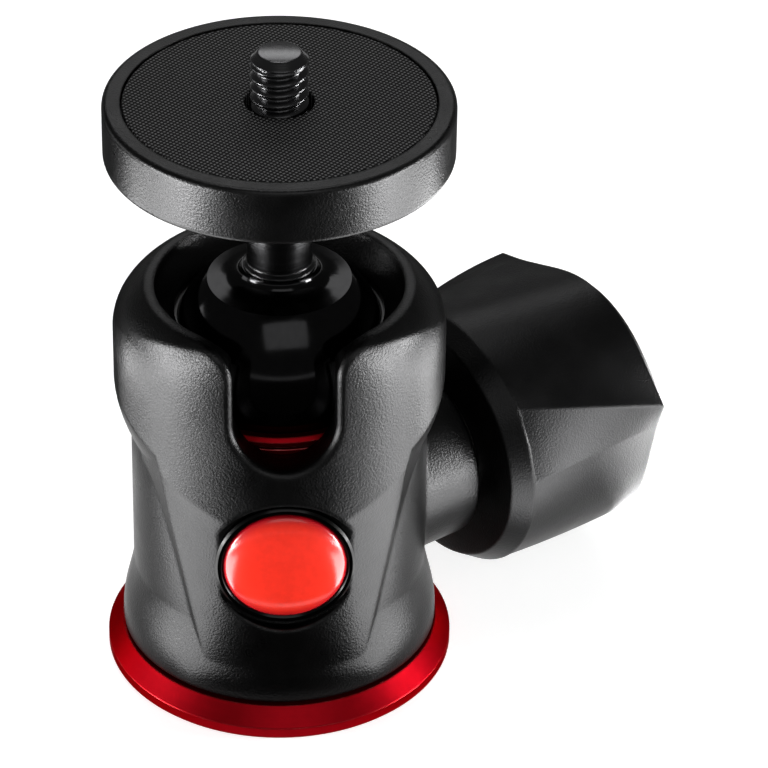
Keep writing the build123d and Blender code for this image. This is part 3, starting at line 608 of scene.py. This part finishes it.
def turned_piece(name, rings, body, thread, inward=False):
    """Revolve (radius, height) pairs in mm. The thread is (low, high, pitch, depth, fade)."""
    low, high, pitch, depth, fade = thread
    points, faces = [], []
    for radius, height in rings:
        for step in range(AROUND):
            angle = 2 * pi * step / AROUND
            r = radius
            if low <= height <= high and radius > 0:
                near_end = min(1.0, (height - low) / fade, (high - height) / fade)
                cut = depth * (1 - thread_wave(height, angle, pitch)) * max(0.0, near_end)
                r = radius + cut if inward else radius - cut
            points.append((r * cos(angle) * MM, r * sin(angle) * MM, height * MM))
    for ring in range(len(rings) - 1):
        for step in range(AROUND):
            a = ring * AROUND + step
            b = ring * AROUND + (step + 1) % AROUND
            faces.append((a, b, b + AROUND, a + AROUND))
    mesh = bpy.data.meshes.new(name)
    mesh.from_pydata(points, [], faces)
    build = bmesh.new()
    build.from_mesh(mesh)
    bmesh.ops.remove_doubles(build, verts=build.verts, dist=1e-7)
    bmesh.ops.holes_fill(build, edges=[e for e in build.edges if e.is_boundary], sides=0)
    bmesh.ops.recalc_face_normals(build, faces=build.faces)
    build.to_mesh(mesh)
    build.free()
    piece = bpy.data.objects.new(name, mesh)
    bpy.context.scene.collection.objects.link(piece)
    mesh.shade_smooth()
    mesh.set_sharp_from_angle(angle=SHARP_EDGE)
    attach(piece, body)
    return piece


print("turned_piece makes rings of", AROUND, "points")

# %% [markdown]
# ## Camera screw
# A quarter-inch screw with 20 turns to the inch: pitch 1.27 mm. It replaces the plain CAD
# cylinder, keeps its size, and ends in a chamfer under a flat tip.

# %% Camera screw
INCH = 25.4
screw_low, screw_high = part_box("camera_screw")
pad_low, pad_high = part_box("grip_pad")
foot, top = screw_low[2] / MM, screw_high[2] / MM
pad_top = pad_high[2] / MM
screw_r, screw_pitch, screw_depth = 6.35 / 2, INCH / 20, 0.62
foot_r, head_r, head_thick = 2.0, 5.0, 1.0
head_low = pad_low[2] / MM - head_thick
neck_r = screw_r - 0.6
tip_r = screw_r - 0.85
thread_low, thread_high, thread_fade = pad_top - 0.55, top - 0.86, 0.3
# tail and head, relief under the thread, thread, rounded chamfer up to the flat tip
rings = [(0, foot), (foot_r, foot), (foot_r, head_low), (head_r, head_low), (head_r, head_low + head_thick)]
rings += [(neck_r, head_low + head_thick), (neck_r, pad_top - 0.9), (screw_r, pad_top - 0.6)]
rings += [(screw_r, z) for z in steps_between(thread_low, thread_high, 110)]
rings += [(tip_r + 0.12, top - 0.14), (tip_r, top - 0.03), (tip_r - 0.1, top), (0, top)]
camera_thread = turned_piece(
    "camera_screw_threaded", rings, "plate", (thread_low, thread_high, screw_pitch, screw_depth, thread_fade)
)
camera_thread.data.materials.append(finishes["screw_dark"])
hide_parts("camera_screw")
print("camera screw turns shown:", round((top - pad_top) / screw_pitch, 1))

# %% [markdown]
# ## Tripod insert
# The steel insert in the base has a three-eighths-inch thread, 16 turns to the inch, cut into
# its wall. The same function makes it, with the wave going outward from the bore.

# %% Tripod insert
insert_low, insert_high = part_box("tripod_insert")
insert_top, flange_r = insert_high[2] / MM, insert_high[0] / MM
bore_r, shank_r, flange_thick = 3.975, 6.2, 2.0
insert_pitch, insert_depth = INCH / 16, 0.72
mouth_r, mouth_deep = bore_r + 0.75, 0.55
flange_low = insert_top - flange_thick
# countersunk mouth and threaded bore, then down the outside: head, shank, foot
rings = [(mouth_r, 0.0)] + [(bore_r, z) for z in steps_between(mouth_deep, insert_top, 150)]
rings += [(flange_r, insert_top), (flange_r, flange_low), (shank_r, flange_low)]
rings += [(shank_r, 0.0), (mouth_r, 0.0)]
insert_thread = turned_piece(
    "tripod_insert_threaded", rings, "base",
    (mouth_deep, insert_top - 0.01, insert_pitch, insert_depth, thread_fade), inward=True,
)
insert_thread.data.materials.append(finishes["bright_steel"])
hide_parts("tripod_insert")
print("insert turns:", round(insert_top / insert_pitch, 1))

# %% [markdown]
# ## Floor
# A plain pale floor that carries the shadow. For camera, mirror and glass rays it also glows,
# so that it reads as a white sweep without any more light on the object.

# %% Floor
floor_reach, floor_grey, floor_glow = 6.0, 0.62, 0.75
floor_z = cad_low[2] - 0.00005
corners = ((-1, -1), (1, -1), (1, 1), (-1, 1))
floor_mesh = bpy.data.meshes.new("floor")
floor_mesh.from_pydata([(x * floor_reach, y * floor_reach, floor_z) for x, y in corners], [], [(0, 1, 2, 3)])
floor = bpy.data.objects.new("floor", floor_mesh)
bpy.context.scene.collection.objects.link(floor)
floor_paint, tree, shader = start_material("floor_paint")
tree.nodes.remove(shader)
matt = put(tree, "ShaderNodeBsdfDiffuse", Color=(floor_grey, floor_grey, floor_grey, 1.0))
glow = put(tree, "ShaderNodeEmission", Color=(1.0, 1.0, 1.0, 1.0))
rays = tree.nodes.new("ShaderNodeLightPath")
seen = math_node(tree, "MAXIMUM", rays.outputs["Is Camera Ray"], rays.outputs["Is Glossy Ray"])
seen = math_node(tree, "MAXIMUM", seen, rays.outputs["Is Transmission Ray"])
wire(tree, math_node(tree, "MULTIPLY", seen, floor_glow), glow.inputs["Strength"])
both = tree.nodes.new("ShaderNodeAddShader")
wire(tree, matt.outputs[0], both.inputs[0])
wire(tree, glow.outputs[0], both.inputs[1])
wire(tree, both.outputs[0], tree.nodes["Material Output"].inputs["Surface"])
floor_mesh.materials.append(floor_paint)
print("floor:", 2 * floor_reach, "m wide, at", round(floor_z / MM, 3), "mm")

# %% [markdown]
# ## Dark sheet
# A black coat shows whatever it mirrors. A dark sheet lies on the floor with a keyhole cut round the
# object: in front it comes right up to the base, so the middle of every wall stays black, and
# at the sides and behind it leaves white floor for the lower edges to mirror. Only reflections see it,
# so it is a painted dark reflection: the camera and the lamps find white floor there.

# %% Dark sheet
sheet_near, sheet_hole, sheet_reach, sheet_steps = 23.0, 50.0, 600.0, 72
near_turn = radians(62)
sheet_z = floor_z + 0.0002
sheet_points, sheet_faces = [], []
for step in range(sheet_steps):
    turn = 2 * pi * step / sheet_steps
    inner = sheet_near if cos(turn) > cos(near_turn) else sheet_hole
    for reach in (inner, sheet_reach):
        sheet_points.append((reach * sin(turn) * MM, -reach * cos(turn) * MM, sheet_z))
    a, b = 2 * step, 2 * ((step + 1) % sheet_steps)
    sheet_faces.append((a, a + 1, b + 1, b))
sheet_mesh = bpy.data.meshes.new("dark_sheet")
sheet_mesh.from_pydata(sheet_points, [], sheet_faces)
sheet = bpy.data.objects.new("dark_sheet", sheet_mesh)
bpy.context.scene.collection.objects.link(sheet)
sheet_paint, tree, shader = start_material("sheet_black")
shader.inputs["Base Color"].default_value = (0.01, 0.01, 0.01, 1.0)
shader.inputs["Roughness"].default_value = 1.0
sheet_mesh.materials.append(sheet_paint)
sheet.visible_camera = sheet.visible_diffuse = sheet.visible_shadow = sheet.visible_transmission = False
print("dark sheet, hole in mm:", sheet_near, "in front,", sheet_hole, "round the rest")

# %% [markdown]
# ## Studio light
# Black things are shown by their highlights. An upright wall shows the table, about one and a half
# times as far out as the wall is high above it. So flat light panels lie on the table at both sides
# and draw a bright band down each side of the object: the near ones serve the low walls, the next
# ones belly and plate, the far ones the shoulders, which lean back. One more lies under the knob.

# %% Functions: soft box and floor panel
focus = Vector((0.008, 0.0, 0.035))
panel_z = 0.002


def soft_box(name, turn, lift, distance, size, power):
    """A rectangular area light that looks at the object. Turn 0 is in front, positive is to the right."""
    light = bpy.data.lights.new(name, "AREA")
    light.shape = "RECTANGLE"
    light.size, light.size_y = size
    light.energy = power
    lamp = bpy.data.objects.new(name, light)
    a, e = radians(turn), radians(lift)
    lamp.location = focus + distance * Vector((sin(a) * cos(e), -cos(a) * cos(e), sin(e)))
    lamp.rotation_mode = "QUATERNION"
    lamp.rotation_quaternion = (focus - lamp.location).to_track_quat("-Z", "Y")
    bpy.context.scene.collection.objects.link(lamp)
    return lamp


def floor_panel(name, turn, near, far, width, power):
    """An area light that lies on the table and faces up, from near to far along its turn."""
    lamp = soft_box(name, turn, 0, 1.0, (width, far - near), power)
    a, middle = radians(turn), (near + far) / 2
    lamp.location = Vector((sin(a) * middle, -cos(a) * middle, panel_z))
    lamp.rotation_quaternion = (Matrix.Rotation(-a, 3, "Z") @ Matrix.Rotation(pi, 3, "X")).to_quaternion()
    lamp.visible_camera = False
    return lamp


print("light helpers: soft_box, floor_panel")

# %% Light panels on the table: name, turn, near, far, width, watts
panels = (
    ("panel_left_near", -62, 0.03, 0.078, 0.045, 0.07),
    ("panel_left", -84, 0.075, 0.13, 0.1, 0.32),
    ("panel_left_far", -66, 0.14, 0.31, 0.1, 3.0),
    ("panel_right_near", 62, 0.03, 0.078, 0.045, 0.07),
    ("panel_right", 86, 0.075, 0.13, 0.1, 0.31),
    ("panel_right_far", 68, 0.14, 0.31, 0.1, 2.5),
    ("panel_knob", 118, 0.045, 0.1, 0.05, 0.1),
)
for row in panels:
    floor_panel(*row)
print("table panels:", len(panels), "with", round(sum(row[-1] for row in panels), 2), "W in all")

# %% [markdown]
# ## Soft boxes
# Two upright boxes at the sides light what leans back from the upright: the knob, the shoulders, the
# rims. Boxes behind and overhead glance off the flat tops, and a wide, weak one high in front shows in
# the ball. An even, dim surround fills the rest.

# %% Soft boxes: name, turn, lift, distance, size, watts
boxes = (
    ("box_left", -80, 0, 0.42, (0.14, 0.12), 2.4),
    ("box_right", 84, 0, 0.42, (0.14, 0.12), 3.4),
    ("box_left_back", -110, 6, 0.42, (0.14, 0.14), 0.2),
    ("box_back", 176, 38, 0.6, (0.4, 0.16), 0.6),
    ("box_over", 180, 75, 0.6, (0.3, 0.2), 0.8),
    ("box_front", 6, 44, 0.6, (0.5, 0.3), 0.6),
)
for row in boxes:
    soft_box(*row)
surround_strength = 0.12
world = bpy.data.worlds.new("studio")
world.use_nodes = True
surround = world.node_tree.nodes["Background"]
surround.inputs["Color"].default_value = (1.0, 1.0, 1.0, 1.0)
surround.inputs["Strength"].default_value = surround_strength
bpy.context.scene.world = world
print("soft boxes:", len(boxes), "with", round(sum(row[-1] for row in boxes), 2), "W in all")
print("surround strength:", surround_strength)

# %% [markdown]
# ## Camera
# A long lens, looking down from the front by a little more than a third of a right angle. The object
# stands somewhat left of the frame's middle, so the lens looks past it by a small angle.

# %% Camera
LIFT = radians(33.83)
TURN = radians(-2.2)
LENS_MM, SENSOR_MM = 196.9, 36.0
DISTANCE, RISE = 487.4 * MM, 28.95 * MM
ASIDE = atan(104.5 / 4200)
NEAREST, FARTHEST = 0.01, 20.0
camera_data = bpy.data.cameras.new("camera")
camera_data.lens, camera_data.sensor_width = LENS_MM, SENSOR_MM
camera = bpy.data.objects.new("camera", camera_data)
bpy.context.scene.collection.objects.link(camera)
back = Vector((sin(TURN) * cos(LIFT), -cos(TURN) * cos(LIFT), sin(LIFT)))
right = Vector((cos(TURN), sin(TURN), 0))
up = back.cross(right)
look = -back * cos(ASIDE) + right * sin(ASIDE)
camera.location = up * RISE + back * DISTANCE
side = look.cross(up).normalized()
camera.rotation_mode = "QUATERNION"
camera.rotation_quaternion = Matrix((side, up, -look)).transposed().to_quaternion()
camera_data.clip_start, camera_data.clip_end = NEAREST, FARTHEST
bpy.context.scene.camera = camera
bpy.context.scene.view_settings.view_transform = "Standard"
print("camera at mm:", [round(v / MM, 1) for v in camera.location])
